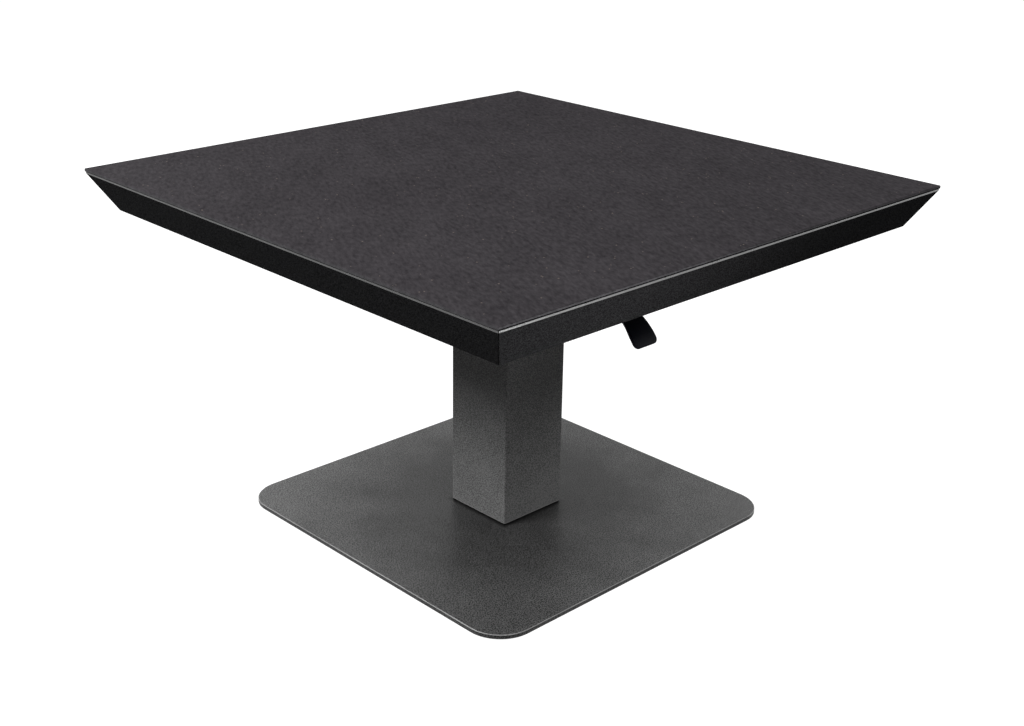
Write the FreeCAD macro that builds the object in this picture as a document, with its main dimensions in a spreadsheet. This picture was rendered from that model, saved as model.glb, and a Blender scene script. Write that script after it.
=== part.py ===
"""Telescoping pedestal table: a square bevelled top on a column that slides up and locks.

Millimetres, +Z up.  The origin is on the floor, under the column's axis, with the column down.
The release lever points along -Y.  Every size is a named cell of the sheet, and every sketch
and feature is tied to those cells by a formula.
"""
import FreeCAD, Part
import Sketcher
import math
import os
from types import SimpleNamespace
from FreeCAD import Placement, Rotation, Vector

SIZES = {
    # the top
    "table_height": (486, "floor to the top's face, column down"),
    "top_side": (800, "side of the square top"),
    "slab_thick": (4, "stone panel"),
    "slab_arris": (0.6, "chamfer round the panel's upper edge"),
    "sheet_thick": (0.6, "bonding sheet under the panel"),
    "sheet_inset": (3.5, "panel's edge to the sheet's edge"),
    "board_thick": (18, "core board"),
    "board_gap": (0.3, "core board to the rails' rebate"),
    # the frame rails
    "lip_inset": (1, "panel's edge to the rails' upper lip"),
    "lip_height": (2, "upright lip above the bevel"),
    "rail_depth": (53, "height of a rail"),
    "bevel_inset": (30.6, "panel's edge to the bevel's foot"),
    "rail_reach": (48, "panel's edge to a rail's inner face"),
    "rebate_inset": (22, "panel's edge to the rebate that takes the board"),
    "rail_wall": (2, "wall of the rail's section"),
    "rail_toe": (3, "radius along the bevel's foot"),
    "lip_round": (0.5, "radius along the lip's upper edge"),
    "mitre_gap": (0.1, "rail's end to the mitre plane"),
    "key_clear": (4.2, "bevel's foot to the corner key, level"),
    "key_height": (20, "corner key, upright"),
    "key_leg": (60, "corner key, length of a leg"),
    "key_gap": (0.2, "corner key to the rail's walls"),
    # the mounting plate
    "plate_side": (260, "square mounting plate"),
    "plate_thick": (5, "mounting plate"),
    "plate_corner": (12, "its corner radius"),
    "plate_screw_spacing": (220, "square of the screws into the board"),
    "plate_screw_length": (18, "plate screw under its head"),
    # the base
    "base_side": (535, "square base plate"),
    "base_corner": (50, "its corner radius"),
    "base_thick": (6, "base plate"),
    "base_arris": (0.8, "chamfer round its upper edge"),
    "pad_thick": (2, "glide pads under the base"),
    "pad_diameter": (40, "a glide pad"),
    "pad_inset": (52, "plate's edge to a pad's centre"),
    # the column
    "sleeve_side": (110, "outer sleeve, across flats"),
    "sleeve_wall": (3, "its wall"),
    "sleeve_corner": (2.5, "its outer corner radius"),
    "sleeve_lift": (2, "gap between the sleeve and the base plate, column down"),
    "bore_corner": (1, "corner radius inside both tubes"),
    "glide_space": (2, "sleeve's bore to the inner tube, each side"),
    "tube_wall": (3, "wall of the inner tube"),
    "tube_corner": (3, "its outer corner radius"),
    "tube_spare": (18.9, "inner tube's end to the bracket's web, column down"),
    "slide_gap": (0.15, "running gap of the glides, each side"),
    "glide_length": (60, "bearing length of a glide"),
    "glide_brim": (3, "brim of the upper glide over the tube's end"),
    "brim_inset": (0.4, "outer sleeve's side to the lower glide's brim"),
    "brim_gap": (0.4, "that brim to the base plate, column down"),
    "glide_skirt": (2, "inner skirt of the upper glide"),
    "glide_skirt_drop": (14, "its depth in the tube"),
    "glide_relief": (0.5, "depth of the grease grooves in the glides"),
    "glide_pad_width": (26, "a bearing strip of a glide"),
    # the foot of the inner tube
    "foot_thick": (14, "block in the tube's end"),
    "foot_gap": (0.1, "block to the tube's walls"),
    "bolt_spacing": (60, "square of the base bolts"),
    "bolt_diameter": (8, "base bolts"),
    "bolt_head": (16, "their countersunk heads"),
    "bolt_length": (17, "whole length of a base bolt"),
    "bolt_gap": (0.1, "bolt to its hole"),
    # the gas spring
    "cylinder_diameter": (28, "gas spring's pressure tube"),
    "cylinder_wall": (1.5, "its wall"),
    "cylinder_base": (5, "its closed end"),
    "rod_showing": (41.9, "the tube's rolled mouth to the bracket's web, column down"),
    "rod_stub": (2, "rod above its upper nut"),
    "cylinder_curl": (1, "thickness of the rolled mouth"),
    "cylinder_lip": (1.5, "reach of the rolled mouth over the bush"),
    "stud_diameter": (10, "stud below it"),
    "stud_length": (18, "length of the stud"),
    "nut_flats": (17, "nuts on the stud and the rod"),
    "nut_thick": (6, "those nuts"),
    "nut_gap": (0.1, "thread clearance of the nuts"),
    "guide_length": (16, "rod guide in the tube's mouth"),
    "rod_diameter": (10, "gas spring's rod"),
    "rod_fit": (0.05, "running fit of the rod, guide and piston"),
    "piston_length": (14, "piston"),
    "piston_press": (0.02, "piston's bore to the rod"),
    "piston_spare": (4, "piston to the guide with the column up"),
    "valve_spare": (64.9, "tube's floor to the valve head with the column down"),
    "pin_diameter": (4, "valve pin in the rod"),
    "pin_fit": (0.08, "running fit of the valve pin"),
    "pin_stand": (8, "valve pin above the rod's end"),
    "valve_diameter": (7, "valve head below the rod"),
    "valve_height": (4, "valve head"),
    "valve_gap": (0.1, "valve head to the rod's end"),
    # the release bracket
    "bracket_depth": (44.5, "mounting plate to the bracket's web"),
    "bracket_metal": (4, "bracket's sheet"),
    "bracket_throat": (26, "between the bracket's cheeks"),
    "bracket_flange": (21, "flange beyond a cheek"),
    "bracket_clear": (8, "the bracket's lever side to the sleeve's wall"),
    "bracket_rear": (22, "column's axis to its other side"),
    "bracket_bend": (3, "radius of its bends"),
    "bracket_screw_length": (8.5, "bracket screw under its head"),
    # the lever
    "pivot_back": (28, "column's axis to the lever's pin"),
    "pivot_rise": (6, "valve pin's end to the lever's pin, upright"),
    "pivot_diameter": (8, "lever's pin"),
    "pivot_fit": (0.06, "running fit of the lever on it"),
    "pivot_spare": (3, "pin beyond a cheek"),
    "pivot_bevel": (0.5, "bevel of the pin's ends"),
    "spacer_diameter": (14, "spacer beside the lever"),
    "spacer_gap": (0.3, "end gap of a spacer"),
    "clip_diameter": (13, "push-on ring at each end of the pin"),
    "clip_thick": (1, "that ring"),
    "clip_gap": (0.05, "ring to the pin"),
    "clip_stand": (0.25, "ring to the bracket's cheek"),
    "lever_thick": (6, "lever plate"),
    "lever_reach": (150, "pin to the plate's end, level"),
    "lever_fall": (70, "pin to the plate's end, down"),
    "lever_eye": (9, "half height of the plate at the pin"),
    "lever_tip": (10, "height of the plate at its end"),
    "lever_round": (1.5, "radius of the plate's bends"),
    "nose_gap": (0.3, "lever's nose to the valve pin"),
    "nose_half": (3.5, "half width of the nose"),
    "slot_width": (13, "lever's slot in the sleeve"),
    "slot_height": (27, "that slot"),
    "slot_raise": (3.6, "slot's middle above the resting lever, at the sleeve's face"),
    "paddle_width": (43, "handle's blade near its end"),
    "paddle_waist": (37, "blade where it starts to turn down"),
    "paddle_neck": (18, "handle's neck"),
    "paddle_thick": (5, "handle's blade"),
    "paddle_beyond": (71.6, "lever plate's end to the handle's end, level"),
    "paddle_drop": (17.8, "handle's end below the plate's line"),
    "paddle_round": (8, "corner radius of the handle's end"),
    "paddle_bevel": (1.4, "bevel round the handle's rim"),
    "paddle_gap": (0.1, "lever plate to its socket"),
    "socket_length": (38, "depth of the socket"),
    "tang_spare": (4, "level tang of the plate outside the socket"),
    "rivet_diameter": (4, "rivets through neck and plate"),
    "rivet_pitch": (18, "between the rivets"),
    # the hexagon-headed screws of the mounting plate and the bracket
    "screw_shank": (6, "their shanks"),
    "screw_flats": (10, "their heads, across flats"),
    "screw_head": (4, "height of their heads"),
    "screw_gap": (0.1, "shank to its hole"),
}

doc = FreeCAD.newDocument("PedestalTable")
sheet = doc.addObject("Spreadsheet::Sheet", "Sizes")
for row, (name, (amount, meaning)) in enumerate(SIZES.items(), start=1):
    sheet.set(f"A{row}", meaning)
    sheet.set(f"B{row}", str(amount))
    sheet.setAlias(f"B{row}", name)
doc.recompute()


class Measure:
    """A length that carries both its value and the sheet formula that gives it."""

    def __init__(self, value, formula):
        self.value = value
        self.formula = formula

    def __add__(self, other):
        return Measure(self.value + amount_of(other), f"({self.formula} + {formula_of(other)})")

    def __sub__(self, other):
        return Measure(self.value - amount_of(other), f"({self.formula} - {formula_of(other)})")

    def __rsub__(self, other):
        return Measure(amount_of(other) - self.value, f"({formula_of(other)} - {self.formula})")

    def __mul__(self, other):
        return Measure(self.value * amount_of(other), f"({self.formula} * {formula_of(other)})")

    def __truediv__(self, other):
        return Measure(self.value / amount_of(other), f"({self.formula} / {formula_of(other)})")

    def __neg__(self):
        return Measure(-self.value, f"(0 - {self.formula})")

    def root(self):
        return Measure(math.sqrt(self.value), f"sqrt({self.formula})")

    __radd__ = __add__
    __rmul__ = __mul__


def amount_of(term):
    return term.value if isinstance(term, Measure) else float(term)


def formula_of(term):
    return term.formula if isinstance(term, Measure) else repr(float(term))


size = SimpleNamespace(**{
    name: Measure(float(amount), f"Sizes.{name}") for name, (amount, meaning) in SIZES.items()
})

# Heights and half widths that several pieces share.
half_top = size.top_side / 2
rail_top = size.table_height - size.slab_thick - size.sheet_thick
rail_bottom = rail_top - size.rail_depth
board_bottom = rail_top - size.board_thick
plate_bottom = board_bottom - size.plate_thick
base_top = size.pad_thick + size.base_thick
sleeve_bottom = base_top + size.sleeve_lift
sleeve_bore = size.sleeve_side - size.sleeve_wall * 2
tube_side = sleeve_bore - size.glide_space * 2
tube_bore = tube_side - size.tube_wall * 2
web_bottom = plate_bottom - size.bracket_depth
web_top = web_bottom + size.bracket_metal
tube_top = web_bottom - size.tube_spare
foot_top = base_top + size.foot_thick
cylinder_bottom = foot_top + size.nut_thick
cylinder_floor = cylinder_bottom + size.cylinder_base
cylinder_top = web_bottom - size.rod_showing
guide_bottom = cylinder_top - size.cylinder_curl - size.guide_length
rod_bottom = cylinder_floor + size.valve_spare + size.valve_height + size.valve_gap
travel = guide_bottom - size.piston_spare - size.piston_length - rod_bottom
rod_top = web_top + size.nut_thick + size.rod_stub
pin_top = rod_top + size.pin_stand
bracket_front = sleeve_bore / 2 - size.bracket_clear
cheek_outer = size.bracket_throat / 2 + size.bracket_metal
pivot_height = pin_top + size.pivot_rise
arm_slope = size.lever_fall / size.lever_reach
tang_start = size.lever_reach - size.socket_length - size.tang_spare
screw_hole = size.screw_shank / 2 + size.screw_gap

sub_parts = []


def new_body(label):
    """An empty body whose label names its file."""
    body = doc.addObject("PartDesign::Body", label)
    body.Label = label
    sub_parts.append(body)
    return body


def origin_item(body, role):
    return next(item for item in body.Origin.OriginFeatures if item.Role == role)


def sketch_on(body, plane, offset=None):
    """A sketch on one of the body's own origin planes, or at a distance along its normal."""
    sketch = body.newObject("Sketcher::SketchObject", "Sketch")
    sketch.AttachmentSupport = [(origin_item(body, plane), "")]
    sketch.MapMode = "FlatFace"
    if offset is not None:
        sketch.setExpression("AttachmentOffset.Base.z", formula_of(offset))
    return sketch


def fix_point(sketch, geometry, vertex, across, up):
    """Ties a point of the sketch to its two coordinates; None leaves that one free."""
    for kind, target in (("DistanceX", across), ("DistanceY", up)):
        if target is not None:
            tie = Sketcher.Constraint(kind, -1, 1, geometry, vertex, amount_of(target))
            sketch.setExpression(f"Constraints[{sketch.addConstraint(tie)}]", formula_of(target))


def polygon(sketch, points):
    """A closed outline of straight sides through the given corners."""
    first = sketch.GeometryCount
    flat = [Vector(amount_of(across), amount_of(up), 0) for across, up in points]
    count = len(points)
    for step in range(count):
        sketch.addGeometry(Part.LineSegment(flat[step], flat[(step + 1) % count]), False)
    for step in range(count):
        after = first + (step + 1) % count
        sketch.addConstraint(Sketcher.Constraint("Coincident", first + step, 2, after, 1))
        fix_point(sketch, first + step, 1, *points[step])


def rectangle(sketch, left, right, low, high):
    polygon(sketch, [(left, low), (right, low), (right, high), (left, high)])


def hexagon(sketch, flats, across=0.0, up=0.0):
    """A hexagon of the given width across its flats."""
    reach = flats / math.sqrt(3)
    turns = [math.radians(60 * corner) for corner in range(6)]
    polygon(sketch, [(across + reach * math.cos(t), up + reach * math.sin(t)) for t in turns])


def circle(sketch, radius, across=0.0, up=0.0):
    centre = Vector(amount_of(across), amount_of(up), 0)
    ring = Part.Circle(centre, Vector(0, 0, 1), amount_of(radius))
    index = sketch.addGeometry(ring, False)
    tie = sketch.addConstraint(Sketcher.Constraint("Radius", index, amount_of(radius)))
    sketch.setExpression(f"Constraints[{tie}]", formula_of(radius))
    fix_point(sketch, index, 3, across, up)


def rounded_square(sketch, side, corner):
    """A square about the origin with its four corners as arcs."""
    flat = side / 2
    bend = flat - corner
    signs = [(1, 1), (-1, 1), (-1, -1), (1, -1)]
    first = sketch.GeometryCount
    for turn, (right, up) in enumerate(signs):
        centre = Vector(right * bend.value, up * bend.value, 0)
        ring = Part.Circle(centre, Vector(0, 0, 1), amount_of(corner))
        start = turn * math.pi / 2
        sketch.addGeometry(Part.ArcOfCircle(ring, start, start + math.pi / 2), False)
    for turn, (right, up) in enumerate(signs):
        arc = first + turn
        fix_point(sketch, arc, 3, right * bend, up * bend)
        if turn % 2 == 0:
            fix_point(sketch, arc, 1, right * flat, up * bend)
            fix_point(sketch, arc, 2, right * bend, None)
        else:
            fix_point(sketch, arc, 1, right * bend, up * flat)
            fix_point(sketch, arc, 2, None, up * bend)
    for turn in range(4):
        here, after = first + turn, first + (turn + 1) % 4
        ends = [sketch.getPoint(here, 2), sketch.getPoint(after, 1)]
        side_line = sketch.addGeometry(Part.LineSegment(*ends), False)
        sketch.addConstraint(Sketcher.Constraint("Coincident", here, 2, side_line, 1))
        sketch.addConstraint(Sketcher.Constraint("Coincident", side_line, 2, after, 1))


def pad(body, sketch, length, centred=False, against=False):
    feature = body.newObject("PartDesign::Pad", "Pad")
    feature.Profile = sketch
    feature.setExpression("Length", formula_of(length))
    feature.Midplane = centred
    feature.Reversed = against
    doc.recompute()
    return feature


def pocket(body, sketch, length=None, centred=False, against=False):
    """Cuts the sketch out of the body, right through when no length is given."""
    before = body.Shape.Volume
    feature = body.newObject("PartDesign::Pocket", "Pocket")
    feature.Profile = sketch
    if length is None:
        feature.Type = "ThroughAll"
    else:
        feature.setExpression("Length", formula_of(length))
    feature.Midplane = centred
    feature.Reversed = against
    doc.recompute()
    if body.Shape.Volume > before - 0.01:
        raise RuntimeError(f"a pocket of {body.Label} cuts nothing")
    return feature


def revolve(body, sketch, axis="V_Axis"):
    feature = body.newObject("PartDesign::Revolution", "Revolution")
    feature.Profile = sketch
    feature.ReferenceAxis = (sketch, [axis])
    feature.Angle = 360
    doc.recompute()
    return feature


def turned(label, outline, axis="V_Axis"):
    """A body turned about Z from one outline of (radius, height) corners."""
    body = new_body(label)
    sketch = sketch_on(body, "XZ_Plane")
    polygon(sketch, outline)
    revolve(body, sketch, axis)
    return body


def ring_of(body, features, count):
    """Repeats features round the body's own Z axis."""
    pattern = body.newObject("PartDesign::PolarPattern", "PolarPattern")
    pattern.Originals = features
    pattern.Axis = (origin_item(body, "Z_Axis"), [""])
    pattern.Angle = 360
    pattern.Occurrences = count
    body.Tip = pattern
    doc.recompute()


def dress(body, kind, chosen, amount):
    """A fillet or chamfer on the edges of the body's last feature that pass the test."""
    base = body.Tip
    names = [
        f"Edge{index}" for index, edge in enumerate(base.Shape.Edges, start=1) if chosen(edge)
    ]
    if not names:
        raise RuntimeError(f"no edge to dress on {body.Label}")
    feature = body.newObject(f"PartDesign::{kind}", kind)
    feature.Base = (base, names)
    feature.setExpression("Radius" if kind == "Fillet" else "Size", formula_of(amount))
    doc.recompute()


def spans(edge, axis, place):
    """The edge's two ends both lie at this place on the axis."""
    return all(
        abs(getattr(vertex.Point, axis) - amount_of(place)) < 0.001 for vertex in edge.Vertexes
    )


def runs_along(edge, axis):
    """A straight edge parallel to the axis."""
    ends = [vertex.Point for vertex in edge.Vertexes]
    if len(ends) != 2 or not isinstance(edge.Curve, Part.Line):
        return False
    run = ends[1] - ends[0]
    return abs(abs(getattr(run, axis)) - run.Length) < 0.001


def square_places(spacing):
    """The four corners of a square of the given side about the origin."""
    half = spacing / 2
    return [(half, half), (-half, half), (-half, -half), (half, -half)]


# ---------------------------------------------------------------- the base

def make_base_plate():
    """Square plate with large corner radii, countersunk from below for the four base bolts."""
    body = new_body("base_plate")
    outline = sketch_on(body, "XY_Plane", size.pad_thick)
    rounded_square(outline, size.base_side, size.base_corner)
    pad(body, outline, size.base_thick)
    dress(body, "Chamfer", lambda edge: spans(edge, "z", base_top), size.base_arris)
    holes = sketch_on(body, "XY_Plane", size.pad_thick)
    for across, up in square_places(size.bolt_spacing):
        circle(holes, size.bolt_diameter / 2 + size.bolt_gap, across, up)
    pocket(body, holes, against=True)
    dress(
        body,
        "Chamfer",
        lambda edge: spans(edge, "z", size.pad_thick) and edge.Closed,
        (size.bolt_head - size.bolt_diameter) / 2,
    )


def make_glide_pads():
    """Four round pads near the corners, which the table stands on."""
    body = new_body("glide_pads")
    sketch = sketch_on(body, "XY_Plane")
    for across, up in square_places(size.base_side - size.pad_inset * 2):
        circle(sketch, size.pad_diameter / 2, across, up)
    pad(body, sketch, size.pad_thick)


def make_inner_tube():
    body = new_body("inner_tube")
    sketch = sketch_on(body, "XY_Plane", base_top)
    rounded_square(sketch, tube_side, size.tube_corner)
    rounded_square(sketch, tube_bore, size.bore_corner)
    pad(body, sketch, tube_top - base_top)


def make_tube_foot():
    """Block welded in the tube's end, tapped for the base bolts and the gas spring's stud."""
    body = new_body("tube_foot")
    sketch = sketch_on(body, "XY_Plane", base_top)
    rounded_square(sketch, tube_bore - size.foot_gap * 2, size.bore_corner + size.foot_gap)
    for across, up in square_places(size.bolt_spacing):
        circle(sketch, size.bolt_diameter / 2 + size.bolt_gap, across, up)
    circle(sketch, size.stud_diameter / 2 + size.nut_gap)
    pad(body, sketch, size.foot_thick)


def make_foot_bolts():
    """Four countersunk bolts, heads flush with the plate's underside."""
    body = new_body("foot_bolts")
    reach = size.bolt_spacing / math.sqrt(2)
    shank = size.bolt_diameter / 2
    head = size.bolt_head / 2
    low = size.pad_thick
    profile = sketch_on(body, "XZ_Plane")
    polygon(profile, [
        (reach, low),
        (reach + head, low),
        (reach + shank, low + head - shank),
        (reach + shank, low + size.bolt_length),
        (reach, low + size.bolt_length),
    ])
    middle = Part.LineSegment(Vector(reach.value, -20, 0), Vector(reach.value, -1, 0))
    axis = profile.addGeometry(middle, True)
    fix_point(profile, axis, 1, reach, -20.0)
    fix_point(profile, axis, 2, reach, -1.0)
    bolt = revolve(body, profile, "Axis0")
    ring_of(body, [bolt], 4)
    body.Placement = Placement(Vector(), Rotation(Vector(0, 0, 1), 45))


def make_upper_glide():
    """Moulded cap on the inner tube: bearing sleeve outside, brim over the end, skirt inside.

    Each outer face bears on two strips, with a grease groove between them.
    """
    body = new_body("upper_glide")
    outside = sleeve_bore - size.slide_gap * 2
    round_out = size.tube_corner - size.slide_gap
    sketch = sketch_on(body, "XY_Plane", tube_top)
    rounded_square(sketch, outside, round_out)
    rounded_square(sketch, tube_bore - size.glide_skirt * 2, size.bore_corner)
    pad(body, sketch, size.glide_brim)
    bearing = sketch_on(body, "XY_Plane", tube_top)
    rounded_square(bearing, outside, round_out)
    rounded_square(bearing, tube_side, size.tube_corner)
    pad(body, bearing, size.glide_length, against=True)
    skirt = sketch_on(body, "XY_Plane", tube_top)
    rounded_square(skirt, tube_bore, size.bore_corner)
    rounded_square(skirt, tube_bore - size.glide_skirt * 2, size.bore_corner)
    pad(body, skirt, size.glide_skirt_drop, against=True)
    middle = outside / 2 - size.tube_corner - size.glide_pad_width
    grooves = sketch_on(body, "XY_Plane", tube_top - size.glide_length)
    cut_face_grooves(grooves, middle, outside / 2, size.glide_relief)
    pocket(body, grooves, size.glide_length - size.glide_brim * 2, against=True)


def cut_face_grooves(sketch, half_width, face, depth):
    """Four shallow rectangles, one in the middle of each face of a square.

    A positive depth reaches inwards from the face, a negative one outwards.
    """
    inner = face - depth
    rectangle(sketch, -half_width, half_width, inner, face)
    rectangle(sketch, -half_width, half_width, -face, -inner)
    rectangle(sketch, inner, face, -half_width, half_width)
    rectangle(sketch, -face, -inner, -half_width, half_width)


def make_gas_cylinder():
    """Pressure tube with a stud below and a mouth rolled inwards over the rod guide."""
    stud = size.stud_diameter / 2
    wall_out = size.cylinder_diameter / 2
    wall_in = wall_out - size.cylinder_wall
    mouth = wall_in - size.cylinder_lip
    edge = cylinder_top - size.cylinder_curl
    turned("gas_cylinder", [
        (0.0, cylinder_bottom - size.stud_length),
        (stud, cylinder_bottom - size.stud_length),
        (stud, cylinder_bottom),
        (wall_out, cylinder_bottom),
        (wall_out, cylinder_top - size.cylinder_curl),
        (wall_out - size.cylinder_curl, cylinder_top),
        (mouth, cylinder_top),
        (mouth, edge),
        (wall_in, edge),
        (wall_in, cylinder_floor),
        (0.0, cylinder_floor),
    ])


def make_nut(label, lows):
    """Plain hexagon nuts on the column's axis, one at each given height."""
    body = new_body(label)
    for low in lows:
        sketch = sketch_on(body, "XY_Plane", low)
        hexagon(sketch, size.nut_flats)
        circle(sketch, size.stud_diameter / 2 + size.nut_gap)
        pad(body, sketch, size.nut_thick)


def make_rod_guide():
    """Guide and seal bush in the tube's mouth."""
    outer = size.cylinder_diameter / 2 - size.cylinder_wall - size.rod_fit
    inner = size.rod_diameter / 2 + size.rod_fit
    high = guide_bottom + size.guide_length
    turned("rod_guide", [
        (inner, guide_bottom),
        (outer, guide_bottom),
        (outer, high),
        (inner, high),
    ])


# ---------------------------------------------------------------- the sliding half of the column

def make_outer_sleeve():
    """Square sleeve that hangs from the mounting plate, with the lever's slot near its top."""
    body = new_body("outer_sleeve")
    sketch = sketch_on(body, "XY_Plane", sleeve_bottom)
    rounded_square(sketch, size.sleeve_side, size.sleeve_corner)
    rounded_square(sketch, sleeve_bore, size.bore_corner)
    pad(body, sketch, plate_bottom - sleeve_bottom)
    slot = sketch_on(body, "XZ_Plane")
    face_reach = size.sleeve_side / 2 - size.pivot_back
    middle = arm_line(face_reach)[1] + size.slot_raise
    rectangle(
        slot,
        -size.slot_width / 2,
        size.slot_width / 2,
        middle - size.slot_height / 2,
        middle + size.slot_height / 2,
    )
    pocket(body, slot, against=True)
    dress(
        body,
        "Fillet",
        lambda edge: runs_along(edge, "y") and edge.Length < size.sleeve_wall.value + 0.001,
        size.slot_width / 4,
    )


def make_lower_glide():
    """Moulded bearing sleeve fixed in the outer sleeve's lower end, relieved on its inside.

    Its brim caps the sleeve's end and lands on the base plate when the column is down.
    """
    body = new_body("lower_glide")
    bore = tube_side + size.slide_gap * 2
    bore_round = size.tube_corner - size.slide_gap * 3
    sketch = sketch_on(body, "XY_Plane", sleeve_bottom)
    rounded_square(sketch, sleeve_bore, size.bore_corner)
    rounded_square(sketch, bore, bore_round)
    pad(body, sketch, size.glide_length)
    brim = sketch_on(body, "XY_Plane", sleeve_bottom)
    brim_side = size.sleeve_side - size.brim_inset * 2
    rounded_square(brim, brim_side, size.sleeve_corner - size.brim_inset)
    rounded_square(brim, bore, bore_round)
    pad(body, brim, size.sleeve_lift - size.brim_gap, against=True)
    middle = bore / 2 - size.tube_corner - size.glide_pad_width
    grooves = sketch_on(body, "XY_Plane", sleeve_bottom + size.glide_brim)
    cut_face_grooves(grooves, middle, bore / 2, -size.glide_relief)
    pocket(body, grooves, size.glide_length - size.glide_brim * 2, against=True)


def make_mounting_plate():
    """Plate welded on the sleeve, drilled for the board's screws and the bracket's."""
    body = new_body("mounting_plate")
    sketch = sketch_on(body, "XY_Plane", plate_bottom)
    rounded_square(sketch, size.plate_side, size.plate_corner)
    for across, up in square_places(size.plate_screw_spacing) + bracket_screw_places():
        circle(sketch, screw_hole, across, up)
    pad(body, sketch, size.plate_thick)


def make_screws(label, places, seat, length):
    """Hexagon-headed screws that point up, with their heads under the seat."""
    body = new_body(label)
    heads = sketch_on(body, "XY_Plane", seat)
    for across, up in places:
        hexagon(heads, size.screw_flats, across, up)
    pad(body, heads, size.screw_head, against=True)
    shanks = sketch_on(body, "XY_Plane", seat)
    for across, up in places:
        circle(shanks, size.screw_shank / 2, across, up)
    pad(body, shanks, length)


# ---------------------------------------------------------------- the top

def make_core_board():
    """Board in the rails' rebate, flush with their tops, drilled for the mounting plate's screws."""
    body = new_body("core_board")
    side = size.top_side - (size.rebate_inset + size.board_gap) * 2
    sketch = sketch_on(body, "XY_Plane", board_bottom)
    rectangle(sketch, -side / 2, side / 2, -side / 2, side / 2)
    pad(body, sketch, size.board_thick)
    holes = sketch_on(body, "XY_Plane", board_bottom)
    for across, up in square_places(size.plate_screw_spacing):
        circle(holes, screw_hole, across, up)
    pocket(body, holes, size.plate_screw_length - size.plate_thick + 1, against=True)


def make_bonding_sheet():
    body = new_body("bonding_sheet")
    sketch = sketch_on(body, "XY_Plane", rail_top)
    side = half_top - size.sheet_inset
    rectangle(sketch, -side, side, -side, side)
    pad(body, sketch, size.sheet_thick)


def make_top_slab():
    body = new_body("top_slab")
    sketch = sketch_on(body, "XY_Plane", rail_top + size.sheet_thick)
    rectangle(sketch, -half_top, half_top, -half_top, half_top)
    pad(body, sketch, size.slab_thick)
    dress(body, "Chamfer", lambda edge: spans(edge, "z", size.table_height), size.slab_arris)


def bevel_line(height):
    """Distance of the bevel's outer face from the panel's edge at a height."""
    slope = (size.bevel_inset - size.lip_inset) / (size.rail_depth - size.lip_height)
    return size.lip_inset + slope * (rail_top - size.lip_height - height)


def make_rail(label, angle):
    """Hollow bevelled rail: upright lip, bevel, foot, and a rebate that takes the board.

    Drawn for the -Y side, mitred at 45 degrees at both ends and turned to its own side.
    """
    body = new_body(label)
    section = sketch_on(body, "YZ_Plane")

    def at(inset, height):
        return (inset - half_top, height)

    polygon(section, [
        at(size.lip_inset, rail_top),
        at(size.lip_inset, rail_top - size.lip_height),
        at(size.bevel_inset, rail_bottom),
        at(size.rail_reach, rail_bottom),
        at(size.rail_reach, board_bottom),
        at(size.rebate_inset, board_bottom),
        at(size.rebate_inset, rail_top),
    ])
    wall = size.rail_wall
    run = size.bevel_inset - size.lip_inset
    drop = size.rail_depth - size.lip_height
    level_wall = wall * (1.0 + (run / drop) * (run / drop)).root()
    high, low = rail_top - wall, rail_bottom + wall
    polygon(section, [
        at(bevel_line(high) + level_wall, high),
        at(bevel_line(low) + level_wall, low),
        at(size.rail_reach - wall, low),
        at(size.rail_reach - wall, board_bottom - wall),
        at(size.rebate_inset - wall, board_bottom - wall),
        at(size.rebate_inset - wall, high),
    ])
    pad(body, section, size.top_side, centred=True)
    toe = size.bevel_inset - half_top
    dress(
        body,
        "Fillet",
        lambda edge: spans(edge, "y", toe) and spans(edge, "z", rail_bottom),
        size.rail_toe,
    )
    lip = size.lip_inset - half_top
    dress(
        body,
        "Fillet",
        lambda edge: spans(edge, "y", lip) and spans(edge, "z", rail_top),
        size.lip_round,
    )
    mitres = sketch_on(body, "XY_Plane")
    near, far = half_top - size.rail_reach - 5, half_top + 5
    gap = size.mitre_gap * math.sqrt(2)
    for side in (1.0, -1.0):
        polygon(mitres, [
            (side * (near - gap), -near),
            (side * (far - gap), -far),
            (side * (far + 5), -far),
            (side * (far + 5), -near),
        ])
    pocket(body, mitres, against=True)
    body.Placement = Placement(Vector(), Rotation(Vector(0, 0, 1), angle))


def make_corner_keys():
    """Angle keys that lie in the rails' hollows and hold the four mitres."""
    body = new_body("corner_keys")
    inner = half_top - (size.rail_reach - size.rail_wall - size.key_gap)
    outer = half_top - (size.bevel_inset + size.key_clear)
    start = outer - size.key_leg
    sketch = sketch_on(body, "XY_Plane", rail_bottom + size.rail_wall + size.key_gap)
    polygon(sketch, [
        (outer, -outer),
        (outer, -start),
        (inner, -start),
        (inner, -inner),
        (start, -inner),
        (start, -outer),
    ])
    key = pad(body, sketch, size.key_height)
    ring_of(body, [key], 4)


# ---------------------------------------------------------------- the release

def bracket_screw_places():
    """(across, along) of the screws, one in the middle of each of the bracket's flanges."""
    across = cheek_outer + size.bracket_flange / 2 + 1
    middle = (size.bracket_rear - bracket_front) / 2
    return [(-across, middle), (across, middle)]


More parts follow.
